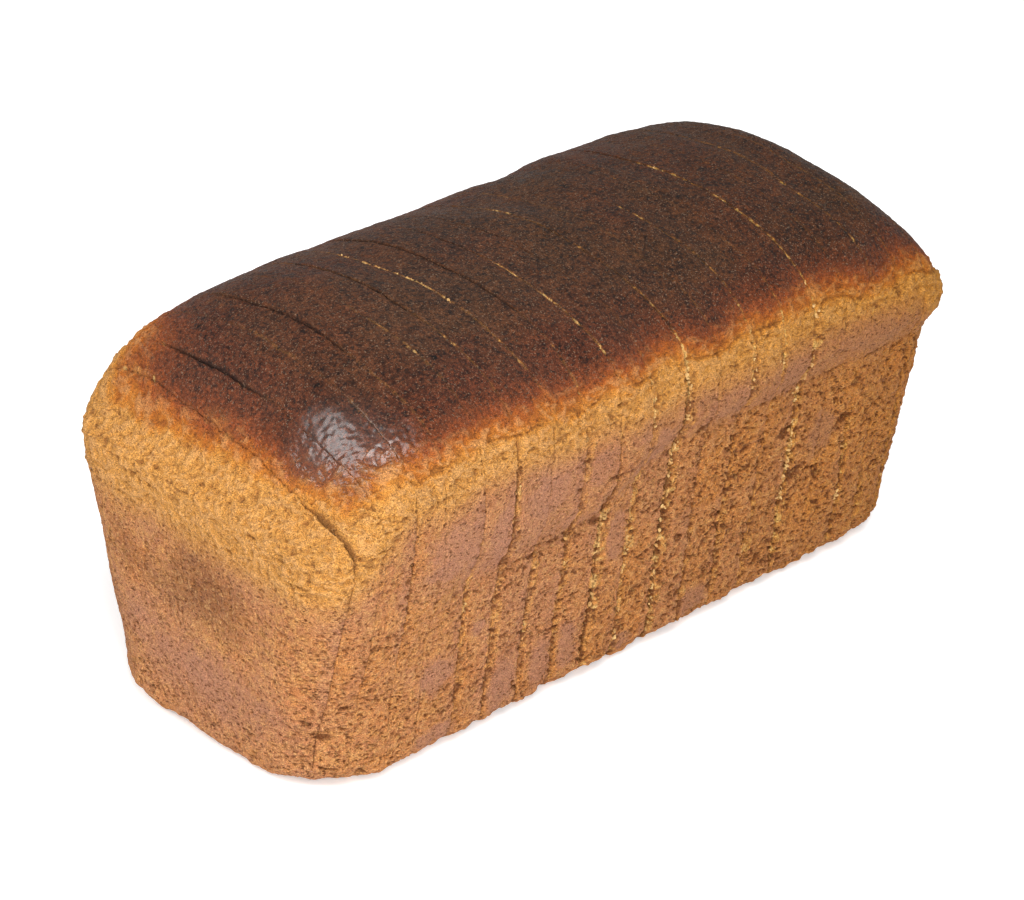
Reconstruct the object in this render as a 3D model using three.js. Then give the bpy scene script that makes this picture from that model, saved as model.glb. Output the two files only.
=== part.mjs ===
import * as THREE from 'three';

// A rye loaf baked in an open tin and cut into slices that still stand together.
// Millimetres, +Z up. The loaf lies along X with its base on z = 0, and the origin
// is the middle of the base. Every slice is one closed solid, heels included.

// The loaf over its shoulders, where it is widest
const LENGTH = 215;
const WIDTH = 97;
const SHOULDER_HEIGHT = 68;

// The crown that rose above the shoulders
const CROWN_RISE = 34;
const CROWN_LEAN = 0.06;
const CROWN_SIDE_POWER = 1.85;
const CROWN_SIDE_ROOT = 0.29;
const NEAR_END_FALL = { power: 10, root: 2.5, edgeRise: 1.2, edgeSlope: 0.8 };
const FAR_END_FALL = { power: 13, root: 1.75, edgeRise: 1.4, edgeSlope: 0.85 };
const EDGE_SHARE = 0.5;
const EDGE_BLEND = 8;

// The wall that the tin pressed: its draw, its upright corners and its foot
const SIDE_DRAW = 5.6;
const END_DRAW = 2.3;
const SHOULDER_CORNER_RADIUS = 15;
const BASE_CORNER_RADIUS = 23;
const FOOT_RADIUS = 7;

// The crust overhangs the pressed wall along a crease, lower towards the near end
const SIDE_OVERHANG = 3.2;
const END_OVERHANG = 0.9;
const CREASE_NEAR_HEIGHT = 50;
const CREASE_FAR_HEIGHT = 61;
const CREASE_DROP_FROM = 5;
const CREASE_DROP_TO = -28;
const CREASE_BELOW = 3;
const CREASE_ABOVE = 8;

// Near that end the crease fades out into one even slope of the wall
const FADE_FROM = -60;
const FADE_TO = -88;
const FADED_BELOW = 38;
const FADED_ABOVE = 18;

// Shallow swells of the crust, each a wave over the length, width and height
const SWELL_DEPTH = 0.45;
const SWELLS = [
  { along: 47, across: 61, up: 39, start: 0.6 },
  { along: 29, across: 37, up: 31, start: 2.1 },
  { along: 71, across: 43, up: 53, start: 4.4 },
];
const SWELL_CLEAR_OF_BASE = 14;

// Slices, from the near heel at -X to the far heel at +X, measured on the centre line
const SLICE_THICKNESS = [
  11, 6.5, 8.5, 8, 11, 9.5, 11, 10.5, 10.5, 10.5,
  12, 10.5, 12, 11.5, 12, 11.5, 10.5, 10, 11.5, 16.5,
];
const CUT_GAP = 0.3;

// The cuts fan out a little: how far each plane turns, in mm per mm of width
const MIDDLE_TURN = -0.077;
const NEAR_TURN = 0.098;
const FAR_TURN = 0.034;

// How unevenly the slices stand: sideways, most so in the middle of the loaf, and in height
const SIDE_SLIP = 0.45;
const HEIGHT_STEP = 0.5;
const SLICE_SEED = 19;

// Mesh density: points round a slice, and the rays that find the outline
const RING_POINTS = 96;
const RING_RAYS = 480;
const RAY_REACH = 90;
const RAY_HALVINGS = 34;
const AXIS_HEIGHT = 45;
const HEEL_STATIONS = [0.2, 0.38, 0.53, 0.66];
const HEEL_FACE_RINGS = [0.985, 0.965, 0.93, 0.87, 0.76, 0.56, 0.3];

const CRUST_COLOUR = 0x8a5a36;
const CRUST_ROUGHNESS = 0.75;

function mix(a, b, t) {
  return a + (b - a) * t;
}

function random(seed) {
  let state = seed >>> 0;
  return () => {
    state = (Math.imul(state, 1664525) + 1013904223) >>> 0;
    return state / 2 ** 32;
  };
}

// Height of the crease at a place along the loaf
function creaseHeight(x) {
  const drop = THREE.MathUtils.smoothstep(-x, -CREASE_DROP_FROM, -CREASE_DROP_TO);
  return mix(CREASE_FAR_HEIGHT, CREASE_NEAR_HEIGHT, drop);
}

// Share of the overhang that is missing at a height: 1 below the crease, 0 above it
function underCrease(x, z) {
  const crease = creaseHeight(x);
  const fade = THREE.MathUtils.smoothstep(-x, -FADE_FROM, -FADE_TO);
  const low = crease - mix(CREASE_BELOW, FADED_BELOW, fade);
  const high = crease + mix(CREASE_ABOVE, FADED_ABOVE, fade);
  return 1 - THREE.MathUtils.smoothstep(z, low, high);
}

// Plan outline of the pressed wall at one height: a rectangle with round corners
function wallPlan(x, z) {
  const up = Math.min(z / SHOULDER_HEIGHT, 1);
  const under = underCrease(x, z);
  const lift = Math.max(FOOT_RADIUS - z, 0);
  const foot = FOOT_RADIUS - Math.sqrt(FOOT_RADIUS ** 2 - lift ** 2);
  return {
    halfLength: LENGTH / 2 - END_DRAW * (1 - up) - END_OVERHANG * under - foot,
    halfWidth: WIDTH / 2 - SIDE_DRAW * (1 - up) - SIDE_OVERHANG * under - foot,
    corner: mix(BASE_CORNER_RADIUS, SHOULDER_CORNER_RADIUS, up),
  };
}

// Half the width of such a plan at a place along the loaf, 0 past its ends
function halfWidthAt(x, plan) {
  const pastCorner = Math.max(Math.abs(x) - (plan.halfLength - plan.corner), 0);
  if (pastCorner >= plan.corner) {
    return 0;
  }
  return plan.halfWidth - plan.corner + Math.sqrt(plan.corner ** 2 - pastCorner ** 2);
}

// Share of the crown's rise left at a place along the loaf: a round fall, then a straight edge
function endFallAt(x) {
  const end = x < 0 ? NEAR_END_FALL : FAR_END_FALL;
  const along = Math.min(Math.abs(x) / (LENGTH / 2), 1);
  const round = (1 - along ** end.power) ** end.root;
  const edge = (end.edgeRise + end.edgeSlope * (LENGTH / 2) * (1 - along)) / CROWN_RISE;
  const straight = Math.min(edge, EDGE_SHARE);
  return (round ** EDGE_BLEND + straight ** EDGE_BLEND) ** (1 / EDGE_BLEND);
}

// Height of the crown over a point of the shoulder plan
function crownHeight(x, y, halfWidth) {
  const across = Math.min(Math.abs(y) / halfWidth, 1);
  const sideFall = (1 - across ** CROWN_SIDE_POWER) ** CROWN_SIDE_ROOT;
  const lean = 1 - CROWN_LEAN * x / (LENGTH / 2);
  return SHOULDER_HEIGHT + CROWN_RISE * lean * endFallAt(x) * sideFall;
}

function isInLoaf(x, y, z) {
  if (z < 0) {
    return false;
  }
  const plan = wallPlan(x, Math.min(z, SHOULDER_HEIGHT));
  const halfWidth = halfWidthAt(x, plan);
  if (Math.abs(y) >= halfWidth) {
    return false;
  }
  return z < SHOULDER_HEIGHT || z < crownHeight(x, y, halfWidth);
}

// Longest step from a point inside the loaf that stays inside it
function reach(start, step, furthest) {
  let inner = 0;
  let outer = furthest;
  for (let i = 0; i < RAY_HALVINGS; i += 1) {
    const middle = (inner + outer) / 2;
    const point = start.clone().addScaledVector(step, middle);
    if (isInLoaf(point.x, point.y, point.z)) {
      inner = middle;
    } else {
      outer = middle;
    }
  }
  return inner;
}

// Outward swell of the crust at a point, none where the loaf stands
function swell(point) {
  let sum = 0;
  for (const wave of SWELLS) {
    const along = Math.sin(point.x * 2 * Math.PI / wave.along + wave.start);
    const across = Math.cos(point.y * 2 * Math.PI / wave.across + 2 * wave.start);
    const up = Math.cos(point.z * 2 * Math.PI / wave.up - wave.start);
    sum += along * (across + up) / 2;
  }
  return SWELL_DEPTH * sum * THREE.MathUtils.smoothstep(point.z, 0, SWELL_CLEAR_OF_BASE);
}

// How far a cut at this place along the loaf turns about the upright
function turnAt(x) {
  const along = x / (LENGTH / 2);
  const endTurn = x < 0 ? NEAR_TURN : FAR_TURN;
  return mix(MIDDLE_TURN, endTurn, along ** 2);
}

// The point of the loaf's inner axis at a place along it
function axisPoint(x) {
  return new THREE.Vector3(x, 0, AXIS_HEIGHT);
}

// Evenly spaced points on the outline of one cut, counter-clockwise seen from +X
function cutOutline(x, turn) {
  const start = axisPoint(x);
  const outline = [];
  for (let i = 0; i <= RING_RAYS; i += 1) {
    const angle = (i % RING_RAYS) / RING_RAYS * 2 * Math.PI - Math.PI / 2;
    const step = new THREE.Vector3(turn * Math.cos(angle), Math.cos(angle), Math.sin(angle));
    const point = start.clone().addScaledVector(step, reach(start, step, RAY_REACH));
    outline.push(point);
  }
  const path = new THREE.CurvePath();
  for (let i = 0; i < RING_RAYS; i += 1) {
    path.add(new THREE.LineCurve3(outline[i], outline[i + 1]));
  }
  const ring = path.getSpacedPoints(RING_POINTS).slice(0, RING_POINTS);
  for (const point of ring) {
    const out = new THREE.Vector3(0, point.y, point.z - AXIS_HEIGHT).normalize();
    const height = swell(point);
    point.y += out.y * height;
    point.z = Math.max(point.z + out.z * height, 0);
    point.x = x + turn * point.y;
  }
  return ring;
}

// One ring on the outer face of a heel: an outline drawn in towards the axis
function heelFaceRing(outline, share, side) {
  const step = new THREE.Vector3(side, 0, 0);
  return outline.map((edge) => {
    const point = new THREE.Vector3(
      edge.x,
      edge.y * share,
      mix(AXIS_HEIGHT, edge.z, share),
    );
    const inside = new THREE.Vector3(0, point.y, point.z);
    point.x = side * reach(inside, step, LENGTH) + side * swell(point) * (1 - share);
    return point;
  });
}

// Closed mesh through a stack of rings from low to high X, with a fan to a point at each end
function closedMesh(rings, firstTip, lastTip) {
  const points = [...rings.flat(), firstTip, lastTip];
  const triangles = [];
  const count = RING_POINTS;
  const lastRing = (rings.length - 1) * count;
  for (let i = 0; i < count; i += 1) {
    const next = (i + 1) % count;
    for (let ring = 0; ring < lastRing; ring += count) {
      const a = ring + i;
      const b = ring + next;
      triangles.push(a, b, b + count, a, b + count, a + count);
    }
    triangles.push(next, i, points.length - 2);
    triangles.push(lastRing + i, lastRing + next, points.length - 1);
  }
  const geometry = new THREE.BufferGeometry();
  const places = points.flatMap((point) => point.toArray());
  geometry.setAttribute('position', new THREE.Float32BufferAttribute(places, 3));
  geometry.setIndex(triangles);
  return geometry;
}

function sliceGeometry(from, to) {
  const rings = [from, to].map((x) => cutOutline(x, turnAt(x)));
  return closedMesh(rings, axisPoint(from), axisPoint(to));
}

// A heel from its cut out to its baked end; side is -1 for the near heel, 1 for the far one
function heelGeometry(cut, side) {
  const turn = turnAt(cut);
  const end = side * LENGTH / 2;
  const rings = [cutOutline(cut, turn)];
  for (const share of HEEL_STATIONS) {
    const turnLeft = turn * (1 - share / HEEL_STATIONS.at(-1));
    rings.push(cutOutline(mix(cut, end, share), turnLeft));
  }
  const edge = rings.at(-1);
  for (const share of HEEL_FACE_RINGS) {
    rings.push(heelFaceRing(edge, share, side));
  }
  const tip = axisPoint(side * reach(axisPoint(0), new THREE.Vector3(side, 0, 0), LENGTH));
  if (side > 0) {
    return closedMesh(rings, axisPoint(cut), tip);
  }
  return closedMesh(rings.reverse(), tip, axisPoint(cut));
}

// Stands a slice a little aside and makes it a little taller, with its base on the board
function standUnevenly(geometry, slip, step) {
  const places = geometry.getAttribute('position');
  for (let i = 0; i < places.count; i += 1) {
    places.setY(i, places.getY(i) + slip);
    places.setZ(i, places.getZ(i) * (1 + step / (SHOULDER_HEIGHT + CROWN_RISE)));
  }
}

function crustMaterial() {
  return new THREE.MeshStandardMaterial({
    color: CRUST_COLOUR,
    roughness: CRUST_ROUGHNESS,
    metalness: 0,
  });
}

function buildLoaf() {
  const loaf = new THREE.Group();
  const draw = random(SLICE_SEED);
  const last = SLICE_THICKNESS.length - 1;
  let from = -LENGTH / 2;
  SLICE_THICKNESS.forEach((thickness, i) => {
    const to = from + thickness;
    const lowCut = from + CUT_GAP / 2;
    const highCut = to - CUT_GAP / 2;
    let name = `slice_${String(i).padStart(2, '0')}`;
    let geometry;
    if (i === 0) {
      name = 'heel_near';
      geometry = heelGeometry(highCut, -1);
    } else if (i === last) {
      name = 'heel_far';
      geometry = heelGeometry(lowCut, 1);
    } else {
      geometry = sliceGeometry(lowCut, highCut);
    }
    const slack = Math.sin(Math.PI * i / last);
    const slip = SIDE_SLIP * slack * (2 * draw() - 1);
    standUnevenly(geometry, slip, HEIGHT_STEP * (2 * draw() - 1));
    geometry.computeVertexNormals();
    const slice = new THREE.Mesh(geometry, crustMaterial());
    slice.name = name;
    loaf.add(slice);
    from = to;
  });
  const box = new THREE.Box3().setFromObject(loaf);
  const middle = box.getCenter(new THREE.Vector3());
  loaf.position.set(-middle.x, -middle.y, -box.min.z);
  return loaf;
}

export default buildLoaf();
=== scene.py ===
import math

import bpy
import numpy as np
from mathutils import Matrix, Vector


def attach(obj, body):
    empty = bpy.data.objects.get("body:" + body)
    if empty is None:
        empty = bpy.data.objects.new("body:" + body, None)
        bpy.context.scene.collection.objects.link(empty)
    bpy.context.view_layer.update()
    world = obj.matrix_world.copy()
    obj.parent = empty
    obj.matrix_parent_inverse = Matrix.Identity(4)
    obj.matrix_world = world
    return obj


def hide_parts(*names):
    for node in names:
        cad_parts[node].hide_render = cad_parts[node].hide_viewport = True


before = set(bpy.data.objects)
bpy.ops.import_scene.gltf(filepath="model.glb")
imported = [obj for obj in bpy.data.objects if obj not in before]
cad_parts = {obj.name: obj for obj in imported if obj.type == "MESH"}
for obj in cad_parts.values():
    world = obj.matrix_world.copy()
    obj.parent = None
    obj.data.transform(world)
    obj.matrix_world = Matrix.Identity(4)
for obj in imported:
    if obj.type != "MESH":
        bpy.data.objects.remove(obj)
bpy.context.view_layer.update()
bpy.ops.object.select_all(action="DESELECT")

# The slices: rye dough risen and baked in an open rectangular tin, then cut upright by a slicer.
# The tin pressed the walls and left them matt and pitted, and the top browned in the open heat.
# Each slice starts as a block of the tin's inside, is seated on the baked form and closed again.

# All sizes are in mm, and a mesh takes them over in metres.
LENGTH = 215.0
WIDTH = 97.0
HEIGHT = 102.0
SHOULDER = 68.0
CROWN_RISE = 34.0
FOOT_RADIUS = 7.0
CORNER_AT_FOOT, CORNER_AT_SHOULDER = 23.0, 15.0
# How much the tin narrows from the shoulder to the foot, and how far the crust hangs over its walls
END_DRAW, SIDE_DRAW = 2.3, 5.6
END_OVERHANG, SIDE_OVERHANG = 0.9, 3.2
# The height of the line that all pieces are seated from, and the search for the crust along a ray from it
AXIS_HEIGHT = 45.0
SEAT_REACH = 1.6
SEAT_HALVINGS = 26
SLICE_THICKNESS = [
    11, 6.5, 8.5, 8, 11, 9.5, 11, 10.5, 10.5, 10.5,
    12, 10.5, 12, 11.5, 12, 11.5, 10.5, 10, 11.5, 16.5,
]  # fmt: skip
CUT_GAP = 0.3
CUTS = -LENGTH / 2 + np.cumsum(SLICE_THICKNESS)[:-1]
# How far the cuts lean along the loaf for each mm across it: in the middle, and the gain to each end
MIDDLE_TURN = -0.077
NEAR_TURN, FAR_TURN = 0.175, 0.111
# The loaf's own middle on the frame, and how far single slices stand aside and rise
LOAF_MIDDLE = (0.040, -0.113)
SIDE_SLIP = 0.45
HEIGHT_STEP = 0.5
SLICE_SEED = 19
# The underside of a slice's block lies so low that its edge is seated on the curve of the foot
BLANK_FOOT = -12.0
# Broad swells of the crust: wavelengths along, across and upward, and where each wave starts
SWELLS = [(47, 61, 39, 0.6), (29, 37, 31, 2.1), (71, 43, 53, 4.4)]
SWELL_HEIGHT = 0.45


def eased(value, low, high):
    """0 up to low, 1 from high on, with a smooth rise between them."""
    share = np.clip((value - low) / (high - low), 0.0, 1.0)
    return share * share * (3.0 - 2.0 * share)


def crease_height(x):
    """The height at which the crust hangs over the tin's wall, lower towards the near end."""
    return 61.0 - 11.0 * eased(-x, -5.0, 28.0)


def in_loaf(x, y, z):
    """Which points lie inside the baked form: pressed walls below the shoulder, crown above."""
    wall_z = np.clip(z, 0.0, SHOULDER)
    up = wall_z / SHOULDER
    crease = crease_height(x)
    fade = eased(-x, 60.0, 88.0)
    under = 1.0 - eased(wall_z, crease - 3.0 - 35.0 * fade, crease + 8.0 + 10.0 * fade)
    foot = FOOT_RADIUS - np.sqrt(FOOT_RADIUS**2 - np.maximum(FOOT_RADIUS - wall_z, 0.0) ** 2)
    half_length = LENGTH / 2 - END_DRAW * (1.0 - up) - END_OVERHANG * under - foot
    half_width = WIDTH / 2 - SIDE_DRAW * (1.0 - up) - SIDE_OVERHANG * under - foot
    corner = CORNER_AT_FOOT + (CORNER_AT_SHOULDER - CORNER_AT_FOOT) * up
    past = np.maximum(np.abs(x) - half_length + corner, 0.0)
    half = half_width - corner + np.sqrt(np.maximum(corner**2 - past**2, 0.0))
    along = np.minimum(np.abs(x) / (LENGTH / 2), 1.0)
    near = x < 0.0
    round_fall = (1.0 - along ** np.where(near, 10.0, 13.0)) ** np.where(near, 2.5, 1.75)
    to_end = LENGTH / 2 * (1.0 - along)
    edge = np.where(near, 1.2 + 0.8 * to_end, 1.4 + 0.85 * to_end) / CROWN_RISE
    end_fall = (round_fall**8 + np.minimum(edge, 0.5) ** 8) ** 0.125
    across = np.minimum(np.abs(y) / np.maximum(half, 1e-6), 1.0)
    lean = 1.0 - 0.06 * x / (LENGTH / 2)
    crown = SHOULDER + CROWN_RISE * lean * end_fall * (1.0 - across**1.85) ** 0.29
    return (z >= 0.0) & (past < corner) & (np.abs(y) < half) & ((z < SHOULDER) | (z < crown))


def seated(middle, outward):
    """Points where rays from the middle of a piece leave the baked form."""
    inner = np.zeros(len(outward))
    outer = np.full(len(outward), SEAT_REACH)
    for _ in range(SEAT_HALVINGS):
        share = (inner + outer) / 2
        inside = in_loaf(*(middle + outward * share[:, None]).T)
        inner = np.where(inside, share, inner)
        outer = np.where(inside, outer, share)
    return middle + outward * inner[:, None]


def turn_at(x):
    """How far the cut at this place leans along the loaf for each mm across it."""
    return MIDDLE_TURN + np.where(x < 0.0, NEAR_TURN, FAR_TURN) * (x / (LENGTH / 2)) ** 2


def swollen(points):
    """The same points with the crust's broad, shallow swells."""
    x, y, z = points.T
    height = np.zeros(len(points))
    for along, across, upward, start in SWELLS:
        wave = np.cos(y * math.tau / across + 2 * start) + np.cos(z * math.tau / upward - start)
        height += np.sin(x * math.tau / along + start) * wave / 2
    height *= SWELL_HEIGHT * eased(z, 0.0, 14.0)
    out = np.stack([np.zeros(len(points)), y, z - AXIS_HEIGHT], 1)
    out /= np.maximum(np.linalg.norm(out, axis=1), 1e-6)[:, None]
    moved = points + out * height[:, None]
    moved[:, 2] = np.maximum(moved[:, 2], 0.0)
    return moved


def hashed(cell, seed):
    """A number from 0 to 1 for each cell of a grid, as good as random and the same in each run."""
    key = cell.astype(np.int64).astype(np.uint32)
    mixed = key[:, 0] * np.uint32(374761393) + key[:, 1] * np.uint32(668265263)
    mixed += key[:, 2] * np.uint32(2246822519) + np.uint32(seed * 97531 + 7)
    mixed = (mixed ^ (mixed >> np.uint32(13))) * np.uint32(1274126177)
    mixed ^= mixed >> np.uint32(16)
    return mixed / 4294967296.0


def lumps(points, size, seed):
    """A smooth random field from -1 to 1, with lumps of about this size in mm.
    Each seed gives a field of its own, and so in all that is strewn on the crust."""
    scaled = points / np.asarray(size, float)
    corner = np.floor(scaled)
    part = scaled - corner
    part = part * part * (3.0 - 2.0 * part)
    total = np.zeros(len(points))
    for step in np.ndindex(2, 2, 2):
        weight = np.prod(np.where(np.array(step), part, 1.0 - part), axis=1)
        total += weight * hashed(corner + step, seed)
    return 2.0 * total - 1.0


def stirred(points, size, by, seed):
    """The points pushed about by up to this much, so that what is laid on them turns uneven."""
    return points + by * np.stack([lumps(points, size, seed + axis) for axis in range(3)], 1)


def hollows(points, spacing, share, seed):
    """Round hollows strewn at this spacing: 1 in the middle of one, 0 outside."""
    scaled = points / np.asarray(spacing, float)
    corner = np.floor(scaled)
    depth = np.zeros(len(points))
    for step in np.ndindex(3, 3, 3):
        cell = corner + np.array(step) - 1.0
        chance = hashed(cell, seed)
        middle = cell + 0.15 + 0.7 * np.stack([hashed(cell, seed + k) for k in (1, 2, 3)], 1)
        radius = np.where(chance < share, 0.25 + 0.3 * chance / share, 1e-6)
        away = np.linalg.norm(scaled - middle, axis=1)
        depth = np.maximum(depth, np.clip(1.0 - (away / radius) ** 2, 0.0, 1.0))
    return depth


# How far above the torn line the crust reaches each step of browning, in mm
BROWNING_REACH = [-2.0, -0.5, 1.0, 3.0, 5.0, 7.0, 10.0, 15.0]
BROWNING_STEPS = [0.25, 0.36, 0.45, 0.58, 0.68, 0.78, 0.90, 1.0]


def browning(points):
    """How far the crust has browned, with 0 for the wall, 0.25 golden, 0.45 burnt orange and 1 for the
    dark top, and how far above the torn line it lies in mm."""
    x, y, z = points.T
    level = z + 0.9 * lumps(points, 8.0, 11) + 0.7 * lumps(points, 2.8, 12) + 0.4 * lumps(points, 0.9, 13)
    near_end = eased(-x, 84.0, 103.0)
    ends = np.maximum(near_end, eased(x, 86.0, 104.0))
    torn = np.interp(x, [-90, -60, -10, 20, 50, 70, 90], [83.5, 84.3, 84, 83, 82.5, 81, 79.5])
    torn += 1.2 * lumps(points, 14.0, 14)
    torn += (76.0 - torn - 2.0 * eased(y, 5.0, 30.0)) * ends
    golden = 69.0 - 19.0 * ends + 1.5 * lumps(points, 12.0, 15)
    over = (level - torn) * (1.0 + 0.6 * ends)
    brown = 0.25 * eased(level, golden, golden + 10.0 + 3.0 * ends)
    brown = np.where(over > BROWNING_REACH[0], np.interp(over, BROWNING_REACH, BROWNING_STEPS), brown)
    return brown, level - torn


# Single deep pits and knocks in the crust: place and radius in mm
KNOCKS = [
    (13.5, -46.0, 62.0, 1.6), (-100.9, -33.0, 20.8, 1.1), (-97.5, -35.8, 16.4, 1.2),
    (-94.6, -39.4, 25.4, 1.2), (-64.0, -44.0, 53.5, 1.5), (-51.0, -42.0, 39.0, 1.3),
    (-65.5, -42.0, 46.0, 1.6), (-72.0, -42.0, 46.5, 1.3), (-20.5, -43.0, 48.0, 1.6),
    (-18.0, -42.0, 37.0, 1.3), (29.0, -43.0, 41.0, 1.2), (47.5, -43.5, 47.0, 1.7),
    (71.5, -44.0, 54.0, 1.6), (70.0, -43.0, 43.5, 1.7), (54.0, -42.0, 33.0, 1.5),
    (-22.0, 42.0, 33.0, 1.5), (48.0, 43.0, 25.0, 1.7), (-70.0, 42.5, 30.0, 1.5),
    (101.0, 30.0, 22.0, 1.5), (105.0, -12.0, 40.0, 1.2),
]  # fmt: skip

# Patches where the wall lay flat against the tin and stayed smooth and pinkish:
# middle x, y and z, then radius along and upward in mm
PANELS = [
    (-70.0, -47.0, 62.0, 12.0, 9.0), (-55.5, -47.0, 60.0, 4.5, 10.0), (-40.0, -48.0, 64.0, 9.0, 7.0),
    (-23.0, -48.0, 65.5, 5.5, 6.0), (-3.0, -49.0, 64.0, 8.0, 7.0), (22.0, -49.0, 67.0, 10.0, 6.0),
    (45.0, -49.0, 66.0, 8.0, 7.0), (72.0, -49.0, 67.5, 19.0, 5.0), (-69.0, -42.0, 24.0, 6.0, 6.5),
    (-46.0, -41.0, 12.0, 5.0, 11.0), (-33.0, -41.0, 12.0, 3.8, 10.0), (-24.0, -41.0, 13.0, 3.6, 10.0),
    (-67.0, -40.0, 6.0, 8.0, 4.0), (-12.0, -43.0, 41.0, 3.5, 9.0), (62.0, -43.5, 42.0, 6.0, 8.0),
    (-5.0, -41.0, 6.0, 5.0, 4.0), (20.0, -42.0, 9.0, 6.0, 5.0), (-56.0, -43.0, 33.0, 3.0, 3.0),
    (-60.0, 47.0, 61.0, 16.0, 9.0), (-20.0, 48.0, 64.0, 12.0, 7.0), (25.0, 49.0, 66.0, 16.0, 6.0),
    (70.0, 49.0, 67.0, 14.0, 5.0), (40.0, 41.0, 12.0, 5.0, 10.0), (5.0, 41.0, 14.0, 5.0, 11.0),
    (-50.0, 42.0, 20.0, 8.0, 8.0), (105.0, 12.0, 44.0, 12.0, 9.0), (104.0, -18.0, 22.0, 10.0, 8.0),
]  # fmt: skip

# Clouds of paler pinkish or darker brown crust on the ends: which end, middle y and z,
# half the width and the height in mm, and how pink or how brown
CLOUDS = [
    (-1, 5.0, 43.0, 36.0, 18.0, -0.85), (-1, -2.0, 20.0, 34.0, 17.0, 0.8), (-1, 15.0, 50.0, 11.0, 9.0, 0.9),
    (-1, 22.0, 30.0, 16.0, 12.0, 0.4), (-1, -22.0, 40.0, 9.0, 14.0, 0.3), (1, 0.0, 46.0, 24.0, 16.0, -0.9),
    (1, 4.0, 20.0, 32.0, 17.0, 0.8), (1, -18.0, 50.0, 11.0, 9.0, 0.8),
]  # fmt: skip

# How high the folds of the crust run: places along the loaf, and the heights there
MAIN_FOLD = ([-72, -60, -44, -25, -18, -12, -6, 2, 15, 98], [52, 51, 48, 50, 52, 55, 57, 60.5, 62, 62])
UPPER_FOLD = ([-26, -20, -3, 8], [55.0, 61.0, 63.0, 65.0])
LOWER_FOLD = ([-48, -41, -34, -27], [46.0, 49.5, 48.0, 51.0])
# The middle of the patch near the end of the crown that baked to a glaze
GLAZE_MIDDLE = (-91.0, -33.0, 86.0)


def ridge(value, width):
    """1 where the value is 0, falling off to 0 within about twice this width."""
    return np.exp(-((value / width) ** 2))


def wall_finish(points, wall, flank):
    """How smooth, how pink and how craggy the tin left the walls, each from 0 to about 1."""
    x, y, z = points.T
    crease = crease_height(x)
    below = 1.0 - eased(z + 1.2 * lumps(points, 7.0, 20), crease - 2.0, crease + 2.0)
    smooth = 0.45 * (1.0 - below) * flank * eased(x, -88.0, -60.0) * (1.0 - eased(z, 72.0, 78.0))
    edge = 0.20 * lumps(points, 3.0, 22) + 0.14 * lumps(points, 1.2, 21)
    for middle_x, middle_y, middle_z, along, upward in PANELS:
        away = np.hypot((x - middle_x) / along, (z - middle_z) / upward) + edge
        side = 1.0 - eased(np.abs(y - middle_y), 8.0, 14.0)
        smooth = np.maximum(smooth, side * (1.0 - eased(away, 0.5, 1.1)))
    smooth *= wall
    pink = 0.25 * eased(lumps(points, (11.0, 11.0, 7.0), 16), 0.0, 0.5) * wall + 0.9 * smooth
    edge += 0.12 * lumps(points, 6.0, 17)
    for end, middle_y, middle_z, across, upward, share in CLOUDS:
        away = np.hypot((y - middle_y) / across, (z - middle_z) / upward) + edge
        pink += share * (1.0 - eased(away, 0.1, 1.15)) * eased(end * x, 94.0, 103.0) * wall
    crag = (0.4 + 0.6 * eased(x + 20.0 * lumps(points, 26.0, 18), -60.0, 35.0)) * below * flank
    crag = np.maximum(crag, 0.55 * (1.0 - eased(z, 6.0, 16.0)))
    crag *= (0.75 + 0.35 * lumps(points, (9.0, 9.0, 6.0), 19)) * (1.0 - 0.9 * smooth) * wall
    return smooth, pink, crag


def folds(points, flank):
    """How deep the crust is folded along its crease, in mm."""
    x, y, z = points.T
    away = z - np.interp(x, *MAIN_FOLD) + 1.5 - 1.3 * lumps(points, 5.0, 32)
    main = ridge(away, 0.8 - 0.3 * eased(x, 30.0, 60.0)) * (0.35 + 0.35 * eased(x, 40.0, 60.0))
    main *= flank * eased(x, -78.0, -60.0) * eased(lumps(points, (7.0, 40.0, 40.0), 33), -0.3, 0.3)
    middle = np.interp(x, *UPPER_FOLD) + 0.8 * lumps(points, 4.0, 34)
    upper = ridge(z - middle, 0.6) * eased(x, -27.0, -22.0) * (1.0 - eased(x, -4.0, 6.0)) * flank
    middle = np.interp(x, *LOWER_FOLD) + 0.8 * lumps(points, 3.0, 36)
    lower = ridge(z - middle, 0.5) * eased(x, -49.0, -46.0) * (1.0 - eased(x, -30.0, -25.0)) * flank
    return main + (0.4 * upper + 0.5 * lower) * (y < 0.0)


def lip_crack(points):
    """The broken line where the crust laps over the upper edge of the near end: 1 in it."""
    x, y, z = points.T
    away = z - 68.6 - 1.2 * lumps(points, (50.0, 7.0, 50.0), 47) - 0.5 * lumps(points, (50.0, 2.0, 50.0), 49)
    crack = ridge(away, 0.32) * eased(-x, 103.0, 104.5)
    parts = eased(lumps(points, (50.0, 3.2, 50.0), 48), 0.25, 0.5)
    return crack * (parts * (1.0 - eased(np.abs(y + 6.0), 24.0, 30.0)))


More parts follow.
